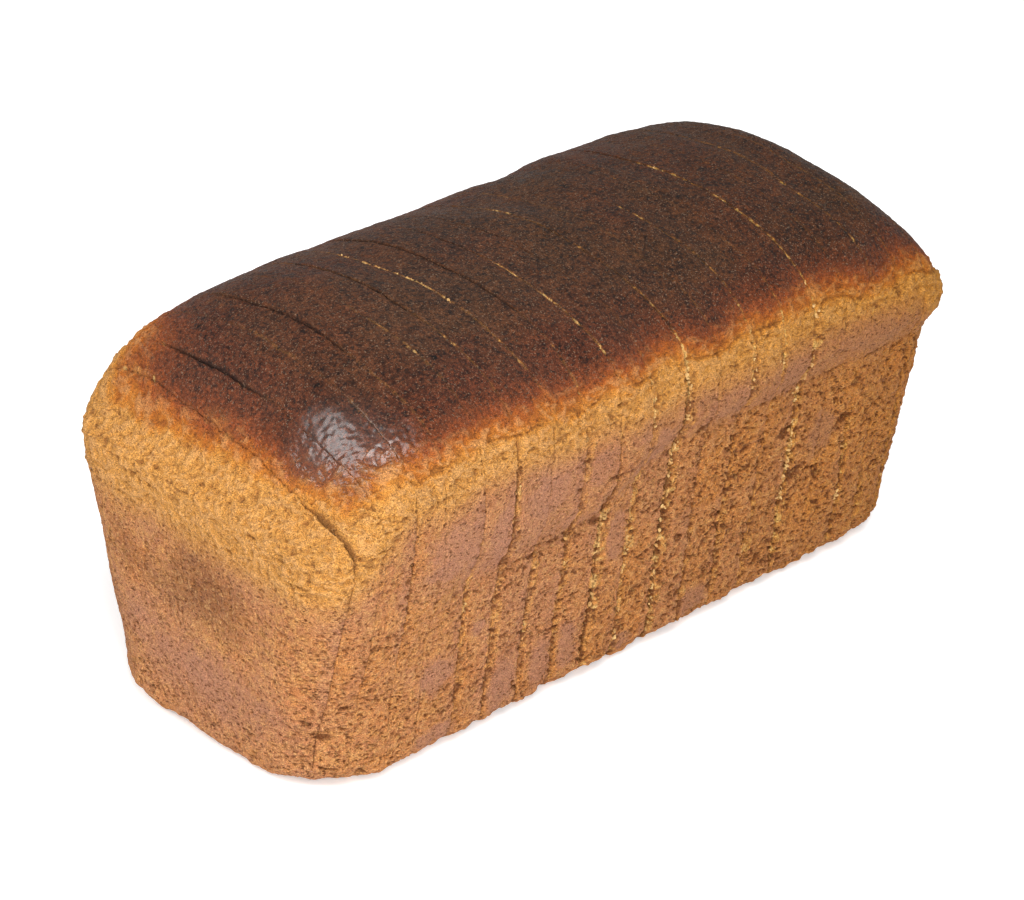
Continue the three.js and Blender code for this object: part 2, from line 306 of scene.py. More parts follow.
def crust_relief(points):
    """Height of the crust's relief in mm, and the masks that its colours follow."""
    x, y, z = points.T
    brown, over_tear = browning(points)
    wall = 1.0 - eased(brown, 0.15, 0.4)
    top = eased(brown, 0.5, 0.85)
    band = (1.0 - top) * eased(brown, 0.08, 0.25)
    flank = eased(np.abs(y), 30.0, 38.0)
    smooth, pink, crag = wall_finish(points, wall, flank)
    ends = eased(np.abs(x), 96.0, 104.0)
    rough = wall * (1.0 - 0.6 * smooth) * (1.0 - 0.25 * ends)

    # Pits, knobs and ridges of the walls, of the golden band, and faintly of the top
    uneven = stirred(stirred(points, 2.6, 0.7, 51), 1.1, 0.25, 60)
    pits = np.minimum(1.6 * hollows(uneven, (1.7, 1.7, 1.0), 0.7, 31), 1.0)
    holes = np.minimum(1.5 * hollows(uneven, (3.3, 3.3, 1.9), 0.45, 35), 1.0)
    craters = np.minimum(1.3 * hollows(uneven, (6.5, 6.5, 3.8), 0.4, 39), 1.0)
    ridges = 1.0 - 2.0 * np.abs(lumps(uneven, (2.6, 2.6, 1.5), 23))
    knobs = lumps(uneven, (1.5, 1.5, 1.1), 52)
    grain = lumps(uneven, (0.8, 0.8, 0.6), 24)
    fine = rough * (-(0.40 + 0.34 * crag) * pits - (0.18 + 0.42 * crag) * holes - 0.25 * craters * crag)
    fine += rough * ((0.13 + 0.16 * crag) * grain + (0.05 + 0.30 * crag) * knobs)
    fine += wall * (0.04 + 0.18 * crag) * ridges
    fine += band * (0.30 * ridges + 0.38 * knobs + 0.18 * grain - 0.10 * holes * (1.0 - ends) - 0.08 * pits)
    fine += top * (0.09 * lumps(points, 2.4, 28) + 0.10 * lumps(points, 1.0, 29) - 0.05 * pits)

    # The flap and groove along the torn line, the folds, the cracked lip and the knocks
    flap = eased(lumps(points, (9.0, 9.0, 30.0), 30), -0.1, 0.3) * (1.0 - eased(-x, 80.0, 95.0))
    fine -= 0.6 * ridge(over_tear + 0.2, 0.4) * flap
    fine += 0.3 * ridge(over_tear + 2.2, 1.3) * flap * (0.6 + 0.8 * knobs)
    fine -= folds(points, flank)
    fine -= 0.7 * lip_crack(points)
    for *place, radius in KNOCKS:
        away = np.linalg.norm((uneven - place) * (0.6, 0.6, 1.0), axis=1) / radius
        fine -= 0.75 * radius * np.clip(1.0 - away**2, 0.0, 1.0) * wall

    # Broad lumps, and the ragged foot
    height = 0.24 * lumps(points, 17.0, 25) + 0.12 * lumps(points, 6.0, 26) + fine
    ragged = 0.7 * lumps(points, 5.5, 62) + 0.35 * lumps(points, 2.2, 63)
    height += ragged * (1.0 - eased(z, 3.0, 10.0))
    height *= eased(z, -0.6, 1.2)
    glaze = 1.0 - eased(np.linalg.norm(points - GLAZE_MIDDLE, axis=1), 8.0, 20.0)
    glaze = glaze * eased(brown, 0.4, 0.7)
    # The relief mask also sets colour: painted shade where it lies deep, and a painted highlight where it
    # stands out
    masks = {"browning": brown, "relief": fine, "pinkness": pink, "crag": crag, "glaze": glaze}
    return height, masks


# How each cut looks, from the near heel on: two rows of digits, one for every 10 degrees round the
# loaf's axis, from the foot of the long wall at -40 over its shoulder at 40 to the top's far side at 130.
# The first row says how far the cut stands open, and the second how much torn, pale crumb shows in it.
CUT_LOOKS = [
    ("113332189400000000", "011111100111122110"), ("002210000013278887", "001100000000011002"),
    ("011255641121011111", "122111110231033000"), ("110000011221577642", "111100011233000111"),
    ("222454341111112221", "233442110124400110"), ("442236773122677753", "234434431245113320"),
    ("653353111222222111", "234431112642677620"), ("764332552115666666", "334554234310000000"),
    ("765555422333467776", "345663123655520000"), ("433445322125666532", "645663475100000011"),
    ("555555444433333333", "766676677442135422"), ("333435731110001111", "343211121211122322"),
    ("232342222333346666", "344322265655530000"), ("223324542111000111", "344221375211111111"),
    ("555555433444445666", "678876677766664100"), ("211121111001111111", "112211111121111111"),
    ("334421112332222211", "555421112665444322"), ("121111112222222222", "332211112333332222"),
    ("223322222333332222", "444322222344433222"),
]  # fmt: skip
LOOK_ANGLES = np.arange(-40.0, 131.0, 10.0)


def look_along(cut, row, angle):
    """One row of a cut's looks from 0 to 1, with the hidden side like another cut's shown one."""
    shown = np.array([int(digit) for digit in CUT_LOOKS[cut][row]]) / 9.0
    hidden = np.array([int(digit) for digit in CUT_LOOKS[-1 - cut][row]]) / 9.0
    front = np.interp(angle, LOOK_ANGLES, shown)
    back = np.interp(180.0 - angle, LOOK_ANGLES, hidden)
    return front + (back - front) * eased(angle, 120.0, 135.0)


def along_cut(cut, points):
    """The same points on a sheet of this cut's own, where both of its sides read the same noise."""
    return np.stack([np.full(len(points), 23.0 * cut), points[:, 1], points[:, 2]], 1)


def bare_dashes(cut, points, pale):
    """Where pale crumb shows along a cut."""
    along = along_cut(cut, points)
    dash = 0.5 + 0.30 * lumps(along, 4.0, 43) + 0.35 * lumps(along, 1.1, 44)
    share = 0.95 * pale * (1.0 - 0.12 * eased(points[:, 2], 82.0, 90.0))
    return eased(dash, 1.0 - share, 1.15 - share)


def cut_edge(cut, points, away, side):
    """One side of a cut: its relief in mm, its bare crumb, the stripe of torn or pressed crust beside it,
    its shift along the loaf in mm, and how fully it meets the next slice."""
    angle = np.degrees(np.arctan2(points[:, 2] - AXIS_HEIGHT, -points[:, 1]))
    angle = np.where(angle < -90.0, angle + 360.0, angle)
    opened = look_along(cut, 0, angle)
    pale = look_along(cut, 1, angle)
    along = along_cut(cut, points)
    across = along + np.stack([side * away, 0.0 * away, 0.0 * away], 1)
    on_wall = 1.0 - eased(points[:, 2], 79.0, 87.0)
    cracked = eased(opened, 0.72, 0.9) * on_wall
    lift = eased(points[:, 2], -0.5, 2.5)

    # The line of the cut, and the row of pits that it opened; through the relief mask both are also painted
    # dark as shade
    pit_row = hollows(stirred(across, 1.4, 0.5, 53), (2.2, 2.2, 1.6), 0.55, 54)
    pit_row *= 1.0 - eased(away, 0.8, 1.8)
    pit_row = 1.3 * on_wall * (1.0 - cracked) * pit_row
    line = np.clip(1.0 - away / (0.25 + 0.2 * opened), 0.0, 1.0)
    nick = 0.3 + 0.7 * np.abs(lumps(along, 1.4, 41))
    relief = -opened * (pit_row + 0.8 * line * nick) - 0.2 * on_wall * line * nick

    # The strip of torn crumb beside it, the pale dashes in it, and the thin seam that is left between
    swing = 0.5 + 0.5 * lumps(along, 6.0, 42)
    reach = (0.9 + 3.6 * swing * np.sqrt(pale)) * np.where(side > 0, 1.0, 0.35)
    torn = away + 0.5 * lumps(across, 1.3, 55)
    strip = on_wall * (1.0 - eased(torn, 0.6 * reach, reach)) * eased(pale, 0.1, 0.35)
    clods = 0.7 * lumps(across, (1.7, 1.7, 1.3), 56) + 0.4 * lumps(across, 0.8, 57)
    relief += strip * (0.7 * clods - 0.15)
    dashes = bare_dashes(cut, points, pale)
    bare = strip * np.clip(0.36 + 0.8 * clods, 0.0, 1.0) * (0.6 + 0.4 * dashes)
    thin = away + 0.25 * lumps(across, 0.7, 59)
    dashes = dashes * (1.0 - eased(thin, 0.0, 0.28 + 0.42 * on_wall)) * (1.0 - cracked)
    bare = np.maximum(bare, dashes)
    seam = 0.02 + 0.4 * pale * (1.0 - 0.75 * opened)
    seam = seam * np.clip(0.65 + 0.8 * lumps(along, 1.5, 64), 0.0, 1.0)
    bare = np.maximum(bare, seam * (1.0 - eased(thin, 0.1, 0.4)) * (1.0 - cracked))
    stripe = on_wall * (1.0 - eased(away + 0.8 * lumps(across, 3.0, 65), 1.0, 4.2))
    stripe = stripe * eased(opened, 0.05, 0.3)

    # How far the cut closes at the surface or stands cracked, wanders, and is chipped at the foot
    closing = (CUT_GAP / 2 - 0.003) * (1.0 - eased(opened, 0.5, 0.9) * (1.0 - 0.7 * on_wall))
    shift = side * (0.35 * cracked - closing) * np.clip(1.0 - away / 0.8, 0.0, 1.0)
    wander = 0.45 * lumps(along, 9.0, 58) + 0.14 * lumps(along, 2.2, 45)
    shift += wander * np.clip(1.0 - away / 2.5, 0.0, 1.0)
    foot = eased(np.abs(points[:, 1]), 29.0, 32.0) * (1.0 - eased(points[:, 2], 1.5, 5.0))
    chip = 1.0 - eased(away + 0.5 * lumps(along, 3.0, 46), 0.5, 2.4)
    notch = 2.2 * foot * eased(opened, 0.1, 0.5) * chip
    meet = (1.0 - eased(opened, 0.2, 0.6)) * (1.0 - eased(away, 0.3, 3.5))
    return relief * lift - notch, bare * lift, stripe, shift, meet


def add_block(name, low, high, cells, cut_sides):
    """A block open at its cut sides, with its edges split into cells along, across, up and under it.
    Each of those is a row of numbers: the first splits an edge, and the next splits what that gave."""
    middle = (Vector(low) + Vector(high)) / 2000.0
    bpy.ops.mesh.primitive_cube_add(size=1.0, location=middle, scale=(Vector(high) - Vector(low)) / 1000.0)
    piece = bpy.context.object
    piece.name = piece.data.name = name
    bpy.ops.object.transform_apply(location=True, rotation=True, scale=True)
    bpy.context.tool_settings.mesh_select_mode = (False, False, True)
    for face in piece.data.polygons:
        face.select = any(face.normal.x * side > 0.9 for side in cut_sides)
    bpy.ops.object.mode_set(mode="EDIT")
    bpy.ops.mesh.delete(type="FACE")
    bpy.ops.object.mode_set(mode="OBJECT")
    along, across, up, under = cells
    ways = [(0, along, None), (2, up, None), (1, across, None)]
    if under != across:
        ways[2:] = [(1, across, False), (1, under, True)]
    for axis, parts, on_floor in ways:
        for split in parts:
            split_edges(piece, axis, split - 1, on_floor)
    return piece


def split_edges(piece, axis, cuts, on_floor):
    """Splits the edges along one axis: those of the underside, all but those, or all of them for None."""
    mesh = piece.data
    run = mesh_points(mesh)[edge_ends(mesh)]
    aligned = np.argmax(np.abs(run[:, 1] - run[:, 0]), axis=1) == axis
    if on_floor is not None:
        aligned &= np.all(run[:, :, 2] < run[:, :, 2].min() + 1e-3, axis=1) == on_floor
    select_edges(mesh, np.zeros(len(mesh.vertices), bool), aligned)
    bpy.ops.object.mode_set(mode="EDIT")
    bpy.ops.mesh.subdivide(number_cuts=cuts)
    bpy.ops.object.mode_set(mode="OBJECT")


def edge_ends(mesh):
    """The two vertices of each edge."""
    ends = np.empty(len(mesh.edges) * 2, np.int32)
    mesh.edges.foreach_get("vertices", ends)
    return ends.reshape(-1, 2)


def select_edges(mesh, vertices, edges):
    """Selects these vertices and edges for edit mode, and nothing else."""
    mesh.vertices.foreach_set("select", vertices)
    mesh.edges.foreach_set("select", edges)
    mesh.polygons.foreach_set("select", np.zeros(len(mesh.polygons), bool))
    bpy.context.tool_settings.mesh_select_mode = (False, True, False)


def mesh_points(mesh):
    """The mesh's vertices in mm."""
    flat = np.empty(len(mesh.vertices) * 3)
    mesh.vertices.foreach_get("co", flat)
    return flat.reshape(-1, 3) * 1000.0


def move_points(mesh, points):
    """Puts the mesh's vertices at these places in mm."""
    mesh.vertices.foreach_set("co", (points / 1000.0).ravel())
    mesh.update()


def outward(mesh):
    """The way out from the crust at each vertex."""
    flat = np.empty(len(mesh.vertices) * 3, np.float32)
    mesh.vertex_normals.foreach_get("vector", flat)
    return flat.reshape(-1, 3).astype(float)


def upright_of(normal):
    """Ways out of the crust with no part along the loaf, long enough to lift it in full where it leans."""
    upright = np.stack([np.zeros(len(normal)), normal[:, 1], normal[:, 2]], 1)
    return upright / np.maximum((upright**2).sum(axis=1), 0.15)[:, None]


def write_masks(mesh, masks):
    """Smooth crust, with each mask as an attribute for its material."""
    mesh.polygons.foreach_set("use_smooth", np.ones(len(mesh.polygons), bool))
    for label, values in masks.items():
        mesh.attributes.new(label, "FLOAT", "POINT").data.foreach_set("value", values)


# The crumb face within the crust's ring, as a share of the slice, and a relief value for the ring that paints
# it dark, a painted shade in the gap between slices
CRUMB_SHARE = 0.955
RING_SHADE_RELIEF = -0.8


def close_cut(piece, rim, station, turn):
    """Closes one open side at its cut: a ring as deep as the crust first, then the crumb within."""
    mesh = piece.data
    rim_size, faces_before = len(mesh.vertices), len(mesh.polygons)
    select_edges(mesh, rim, rim[edge_ends(mesh)].all(axis=1))
    bpy.ops.object.mode_set(mode="EDIT")
    bpy.ops.mesh.extrude_edges_move()
    bpy.ops.object.mode_set(mode="OBJECT")
    points = mesh_points(mesh)
    inner = points[rim_size:]
    inner[:, 1] *= CRUMB_SHARE
    inner[:, 2] = AXIS_HEIGHT + (inner[:, 2] - AXIS_HEIGHT) * CRUMB_SHARE
    inner[:, 0] = station + turn * inner[:, 1]
    points[rim_size:] = inner
    move_points(mesh, points)
    bpy.ops.object.mode_set(mode="EDIT")
    bpy.ops.mesh.edge_face_add()
    bpy.ops.object.mode_set(mode="OBJECT")
    # The ring gets a low relief value so that the material paints it dark, a painted shade in the gap
    depth = np.empty(len(mesh.vertices))
    mesh.attributes["relief"].data.foreach_get("value", depth)
    depth[rim_size:] = RING_SHADE_RELIEF
    mesh.attributes["relief"].data.foreach_set("value", depth)
    for face in mesh.polygons[faces_before:]:
        face.use_smooth = False
    mesh.polygons[len(mesh.polygons) - 1].material_index = 1


def finish_piece(piece, node, slip, rise):
    """Materials and place of one closed piece."""
    mesh = piece.data
    mesh.materials.append(crust)
    mesh.materials.append(crumb)
    move_points(mesh, stood(mesh_points(mesh), slip, rise))
    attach(piece, "root")
    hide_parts(node)


def stood(points, slip, rise):
    """Points of the loaf as its slice stands: a little aside and a little taller."""
    placed = points + (LOAF_MIDDLE[0], LOAF_MIDDLE[1] + slip, 0.0)
    placed[:, 2] *= 1.0 + rise / HEIGHT
    return placed


# Crust colours by browning, from the golden band up to the dark top
CRUST_COLOURS = {
    0.25: (0.61, 0.280, 0.062),
    0.36: (0.58, 0.230, 0.036),
    0.45: (0.49, 0.158, 0.020),
    0.58: (0.39, 0.102, 0.014),
    0.68: (0.245, 0.055, 0.013),
    0.78: (0.160, 0.038, 0.011),
    0.90: (0.116, 0.0290, 0.0110),
    1.0: (0.097, 0.0290, 0.0105),
}
# The pressed walls, and what darkens or lightens walls and top in places: the crust's own tones, and painted
# shade in hollows and pits and a painted highlight on raised crust
MATT_WALL = (0.475, 0.188, 0.069)
FLOURY_WALL = (0.58, 0.27, 0.080)
RUSTY_WALL = (0.53, 0.180, 0.043)
CRAGGY_WALL = (0.61, 0.225, 0.046)
MAUVE_WALL = (0.44, 0.190, 0.098)
PINK_WALL = (0.40, 0.178, 0.108)
BROWN_CLOUD = (0.215, 0.078, 0.028)
OLIVE_TOP = (0.083, 0.034, 0.0135)
TORN_CRUMB = (0.61, 0.270, 0.065)
PALE_CRUMB = (0.80, 0.53, 0.20)
# Painted shade where the crust lies deep: hollows, folds, knocks and the lines of the cuts
WALL_HOLLOW_SHADE, TOP_HOLLOW_SHADE = (0.185, 0.057, 0.015), (0.028, 0.010, 0.006)
# A painted highlight where the crust stands out
RAISED_HIGHLIGHT = (0.66, 0.35, 0.135)
LIGHT_FLECK, DARK_FLECK = (0.72, 0.41, 0.155), (0.27, 0.095, 0.026)
# Painted shade in the finest pits
WALL_PIT_SHADE, TOP_PIT_SHADE = (0.150, 0.045, 0.012), (0.022, 0.010, 0.007)
# Darker and more orange towards the far end
FAR_END_TINT = (0.80, 0.73, 0.45)
# Pale flour specks on the top, which also serve as a painted sparkle of highlights
FLOUR_AND_SPARKLE_DOT = (0.34, 0.22, 0.14)
# The crumb of the cut faces, with painted shade in its holes
CRUMB_BROWN, CRUMB_TAN, CRUMB_HOLE_SHADE = (0.20, 0.09, 0.03), (0.42, 0.23, 0.085), (0.08, 0.032, 0.012)


def start_material(name):
    """A new material with its tree, its shader and the place on the piece."""
    material = bpy.data.materials.new(name)
    material.use_nodes = True
    tree = material.node_tree
    place = tree.nodes.new("ShaderNodeTexCoord").outputs["Object"]
    return material, tree, tree.nodes["Principled BSDF"], place


def add_ramp(tree, stops):
    ramp = tree.nodes.new("ShaderNodeValToRGB")
    elements = ramp.color_ramp.elements
    while len(elements) < len(stops):
        elements.new(0.5)
    for element, (place, colour) in zip(elements, stops.items()):
        element.position = place
        element.color = (*colour, 1.0)
    return ramp


def add_noise(tree, where, scale, detail=2.0, roughness=0.5):
    noise = tree.nodes.new("ShaderNodeTexNoise")
    noise.inputs["Scale"].default_value = scale
    noise.inputs["Detail"].default_value = detail
    noise.inputs["Roughness"].default_value = roughness
    tree.links.new(where, noise.inputs["Vector"])
    return noise.outputs["Fac"]


def add_range(tree, value, low, high, to_low=0.0, to_high=1.0):
    """The value spread from one range to another, and held at its ends."""
    spread = tree.nodes.new("ShaderNodeMapRange")
    for place, number in enumerate((low, high, to_low, to_high), 1):
        spread.inputs[place].default_value = number
    tree.links.new(value, spread.inputs[0])
    return spread.outputs[0]


def add_between(tree, mask, at_zero, at_one):
    """A number that goes from one value to another with a mask."""
    return add_range(tree, mask, 0.0, 1.0, at_zero, at_one)


def add_math(tree, operation, first, second):
    node = tree.nodes.new("ShaderNodeMath")
    node.operation = operation
    for socket, value in zip(node.inputs, (first, second)):
        if isinstance(value, (int, float)):
            socket.default_value = value
        else:
            tree.links.new(value, socket)
    return node.outputs[0]


def add_product(tree, product, *factors):
    for factor in factors:
        product = add_math(tree, "MULTIPLY", product, factor)
    return product


def add_sum(tree, total, *terms):
    for term in terms:
        total = add_math(tree, "ADD", total, term)
    return total


def add_vector(tree, operation, first, second):
    node = tree.nodes.new("ShaderNodeVectorMath")
    node.operation = operation
    second_socket = node.inputs["Scale"] if operation == "SCALE" else node.inputs[1]
    for socket, value in ((node.inputs[0], first), (second_socket, second)):
        if isinstance(value, (int, float, tuple)):
            socket.default_value = value
        else:
            tree.links.new(value, socket)
    return node.outputs["Vector"]


def add_mix(tree, share, first, second, blend="MIX"):
    node = tree.nodes.new("ShaderNodeMix")
    node.data_type = "RGBA"
    node.blend_type = blend
    for socket, value in ((node.inputs[0], share), (node.inputs[6], first), (node.inputs[7], second)):
        if isinstance(value, (int, float)):
            socket.default_value = value
        elif isinstance(value, tuple):
            socket.default_value = (*value, 1.0)
        else:
            tree.links.new(value, socket)
    return node.outputs[2]


def add_attribute(tree, label):
    node = tree.nodes.new("ShaderNodeAttribute")
    node.attribute_name = label
    return node.outputs["Fac"]


# The grain of baked rye: fine lying pits and gritty flour, for crust and crumb alike
rye_grain = bpy.data.node_groups.new("rye_grain", "ShaderNodeTree")
rye_grain.interface.new_socket("Place", in_out="INPUT", socket_type="NodeSocketVector")
rye_grain.interface.new_socket("Pits per metre", in_out="INPUT", socket_type="NodeSocketFloat")
rye_grain.interface.new_socket("Flatness", in_out="INPUT", socket_type="NodeSocketFloat")
for label in ("Pits", "Grit", "Height"):
    rye_grain.interface.new_socket(label, in_out="OUTPUT", socket_type="NodeSocketFloat")
taken = rye_grain.nodes.new("NodeGroupInput").outputs
given = rye_grain.nodes.new("NodeGroupOutput").inputs
lying = rye_grain.nodes.new("ShaderNodeCombineXYZ")
lying.inputs["X"].default_value = lying.inputs["Y"].default_value = 1.0
rye_grain.links.new(taken["Flatness"], lying.inputs["Z"])
where = add_vector(rye_grain, "MULTIPLY", taken["Place"], lying.outputs["Vector"])
where = add_vector(rye_grain, "SCALE", where, taken["Pits per metre"])
stir = rye_grain.nodes.new("ShaderNodeTexNoise")
stir.inputs["Scale"].default_value = 0.9
rye_grain.links.new(where, stir.inputs["Vector"])
stir = add_vector(rye_grain, "SUBTRACT", stir.outputs["Color"], (0.5, 0.5, 0.5))
bent = add_vector(rye_grain, "ADD", where, add_vector(rye_grain, "SCALE", stir, 1.6))
pits = 0.0
for scale, inner, rim, share in ((0.5, 0.17, 0.30, 1.0), (1.0, 0.18, 0.34, 0.65), (2.1, 0.2, 0.38, 0.4)):
    cells = rye_grain.nodes.new("ShaderNodeTexVoronoi")
    cells.inputs["Scale"].default_value = scale
    rye_grain.links.new(bent, cells.inputs["Vector"])
    pit = add_range(rye_grain, cells.outputs["Distance"], inner, rim, share, 0.0)
    pits = add_math(rye_grain, "MAXIMUM", pit, pits)
grit = add_noise(rye_grain, where, 2.6, 3.0, 0.65)
depth = add_math(rye_grain, "SUBTRACT", grit, add_product(rye_grain, pits, 0.7))
for label, value in (("Pits", pits), ("Grit", grit), ("Height", depth)):
    rye_grain.links.new(value, given[label])


def add_grain(tree, place, per_metre, flatness):
    node = tree.nodes.new("ShaderNodeGroup")
    node.node_tree = rye_grain
    node.inputs["Pits per metre"].default_value = per_metre
    node.inputs["Flatness"].default_value = flatness
    tree.links.new(place, node.inputs["Place"])
    return node.outputs


def add_bump(tree, height, strength, distance):
    bump = tree.nodes.new("ShaderNodeBump")
    bump.inputs["Strength"].default_value = strength
    bump.inputs["Distance"].default_value = distance
    tree.links.new(height, bump.inputs["Height"])
    return bump.outputs["Normal"]


crust, tree, shader, place = start_material("baked_rye_crust")
brown = add_attribute(tree, "browning")
relief = add_attribute(tree, "relief")
pink = add_attribute(tree, "pinkness")
crag = add_attribute(tree, "crag")
bare = add_attribute(tree, "bare_crumb")
glaze = add_attribute(tree, "glaze")
grain = add_grain(tree, place, 1250.0, 1.6)
top = add_range(tree, brown, 0.5, 0.85)
blotch = add_noise(tree, place, 75.0, 3.0, 0.6)
mottle = add_noise(tree, place, 420.0, 3.0, 0.65)
cloud = add_noise(tree, place, 34.0, 2.0)
fleck = add_noise(tree, place, 1050.0, 2.0, 0.6)

# The pressed walls, and over them the colours of the browning
wall = MATT_WALL
for pattern, low, high, share, colour in (
    (mottle, 0.42, 0.64, 0.8, FLOURY_WALL),
    (blotch, 0.50, 0.68, 0.5, RUSTY_WALL),
    (crag, 0.1, 0.8, 0.55, CRAGGY_WALL),
    (cloud, 0.47, 0.60, 0.35, MAUVE_WALL),
    (pink, 0.0, 1.0, 0.72, PINK_WALL),
    (pink, 0.0, -1.0, 0.95, BROWN_CLOUD),
):
    wall = add_mix(tree, add_range(tree, pattern, low, high, 0.0, share), wall, colour)
base = add_ramp(tree, CRUST_COLOURS)
flame = add_range(tree, mottle, 0.3, 0.7, -0.05, 0.05)
flame = add_sum(tree, flame, add_range(tree, blotch, 0.3, 0.7, -0.03, 0.03))
tree.links.new(add_sum(tree, brown, flame), base.inputs["Fac"])
colour = add_mix(tree, add_range(tree, brown, 0.0, 0.25), wall, base.outputs["Color"])

# The mottled top, the bare crumb, painted shade where the crust lies deep and a painted highlight where it
# stands out
olive = add_product(tree, add_range(tree, cloud, 0.40, 0.60, 0.0, 0.7), add_range(tree, brown, 0.8, 1.0))
colour = add_mix(tree, olive, colour, OLIVE_TOP)
spots = [
    add_product(tree, add_range(tree, pattern, 0.35, 0.65, -change, change), top)
    for pattern, change in ((mottle, 0.4), (blotch, 0.2), (fleck, 0.5))
]
colour = add_vector(tree, "SCALE", colour, add_sum(tree, *spots, 1.0))
crumb_colour = add_mix(tree, add_range(tree, bare, 0.45, 0.95), TORN_CRUMB, PALE_CRUMB)
colour = add_mix(tree, add_range(tree, bare, 0.0, 0.5, 0.0, 0.85), colour, crumb_colour)
# Painted shade: darker colour where the relief lies deep
hollow_shade = add_product(tree, add_range(tree, relief, -0.08, -0.55), add_range(tree, brown, 0.05, 0.3, 0.9, 0.55))
hollow_shade = add_product(tree, hollow_shade, add_between(tree, top, 1.0, 1.6))
colour = add_mix(tree, hollow_shade, colour, add_mix(tree, top, WALL_HOLLOW_SHADE, TOP_HOLLOW_SHADE))
# Painted highlight: paler colour where the relief stands out
raised_highlight = add_product(tree, add_range(tree, relief, 0.03, 0.35), add_between(tree, top, 0.4, 0.0))
colour = add_mix(tree, raised_highlight, colour, RAISED_HIGHLIGHT)

# Light and dark flecks, painted shade in the finest pits, and what lies over all of it
flecked = add_range(tree, pink, 0.2, 0.9, 0.36, 0.12)
flecked = add_product(tree, flecked, add_range(tree, brown, 0.1, 0.4, 1.0, 0.0))
for low, high, shade in ((0.54, 0.66, LIGHT_FLECK), (0.46, 0.33, DARK_FLECK)):
    colour = add_mix(tree, add_product(tree, add_range(tree, fleck, low, high), flecked), colour, shade)
band = add_math(tree, "SUBTRACT", add_range(tree, brown, 0.05, 0.25), top)
small_pit_shade = add_product(tree, grain["Pits"], add_between(tree, band, 0.88, 0.45))
colour = add_mix(tree, small_pit_shade, colour, add_mix(tree, top, WALL_PIT_SHADE, TOP_PIT_SHADE))
length_way = tree.nodes.new("ShaderNodeSeparateXYZ")
tree.links.new(place, length_way.inputs[0])
far = add_range(tree, length_way.outputs["X"], -0.05, 0.09)
# The colour turns darker and more orange towards the far end
colour = add_mix(tree, far, colour, FAR_END_TINT, "MULTIPLY")
colour = add_vector(tree, "SCALE", colour, add_range(tree, grain["Grit"], 0.36, 0.64, 0.52, 1.45))
# Pale flour specks on the top, partly a painted sparkle of highlights
flour_and_sparkle_noise = add_noise(tree, place, 2300.0, 1.0, 0.5)
flour_and_sparkle_dots = add_product(tree, add_range(tree, flour_and_sparkle_noise, 0.62, 0.71), add_between(tree, top, 0.15, 0.6))
colour = add_mix(tree, flour_and_sparkle_dots, colour, FLOUR_AND_SPARKLE_DOT)
tree.links.new(colour, shader.inputs["Base Color"])

# Its dull gloss, the glazed patch at the near end, and its grain and wrinkles
rough = add_sum(tree, add_between(tree, top, 0.85, 0.6), add_range(tree, mottle, 0.3, 0.7, -0.08, 0.08))
rough = add_sum(tree, rough, add_product(tree, bare, 0.3))
tree.links.new(rough, shader.inputs["Roughness"])
shader.inputs["Specular IOR Level"].default_value = 0.22
tree.links.new(glaze, shader.inputs["Coat Weight"])
shader.inputs["Coat Roughness"].default_value = 0.26
wrinkle = add_math(tree, "SUBTRACT", add_noise(tree, place, 1400.0, 3.0, 0.6), 0.5)
wrinkle = add_range(tree, add_math(tree, "ABSOLUTE", wrinkle, 0.0), 0.0, 0.12)
wrinkled = add_sum(tree, add_between(tree, top, 0.0, 0.6), add_between(tree, glaze, 0.0, 1.5))
height = add_product(tree, grain["Height"], add_between(tree, top, 1.0, 0.9))
height = add_sum(tree, height, add_product(tree, wrinkle, wrinkled))
tree.links.new(add_bump(tree, height, 1.0, 0.0006), shader.inputs["Normal"])

crumb, tree, shader, place = start_material("rye_crumb")
grain = add_grain(tree, place, 520.0, 1.2)
colour = add_mix(tree, add_range(tree, grain["Grit"], 0.35, 0.65), CRUMB_BROWN, CRUMB_TAN)
# Painted shade in the crumb's holes
colour = add_mix(tree, add_product(tree, grain["Pits"], 0.6), colour, CRUMB_HOLE_SHADE)
tree.links.new(colour, shader.inputs["Base Color"])
shader.inputs["Roughness"].default_value = 0.9
tree.links.new(add_bump(tree, grain["Height"], 1.0, 0.0007), shader.inputs["Normal"])

# One block is made for all the slices, with its cells closer together towards both cuts
SLICE_CELLS = ((36,), (12, 20), (17, 20), (40,))
BLANK_LENGTH = 10.0
# How near its cut a vertex of the rim lies, as a share of the piece, and how strongly a stripe shows
RIM = 1e-4
STRIPE_SHARE = 0.45
low_corner = (0, -WIDTH / 2, BLANK_FOOT)
blank = add_block("slice_blank", low_corner, (BLANK_LENGTH, WIDTH / 2, HEIGHT), SLICE_CELLS, (-1, 1))
blank.select_set(False)
blank_points = mesh_points(blank.data)
share = blank_points[:, 0] / BLANK_LENGTH
along = share - 0.4 * np.sin(math.tau * share) / math.tau

# How far each slice slips aside and rises, drawn in turn as for the plain solids
state = SLICE_SEED
draws = []
for _ in range(2 * len(SLICE_THICKNESS)):
    state = (state * 1664525 + 1013904223) % 2**32
    draws.append(2.0 * state / 2**32 - 1.0)
last = len(SLICE_THICKNESS) - 1
slips = [SIDE_SLIP * math.sin(math.pi * i / last) * draws[2 * i] for i in range(last + 1)]
rises = [HEIGHT_STEP * draws[2 * i + 1] for i in range(last + 1)]


def step_across(number, neighbour):
    """How far one slice's edge moves aside and grows to meet its neighbour's halfway."""
    aside = (slips[neighbour] - slips[number]) / 2
    taller = (rises[neighbour] - rises[number]) / 2 / HEIGHT
    return aside, taller


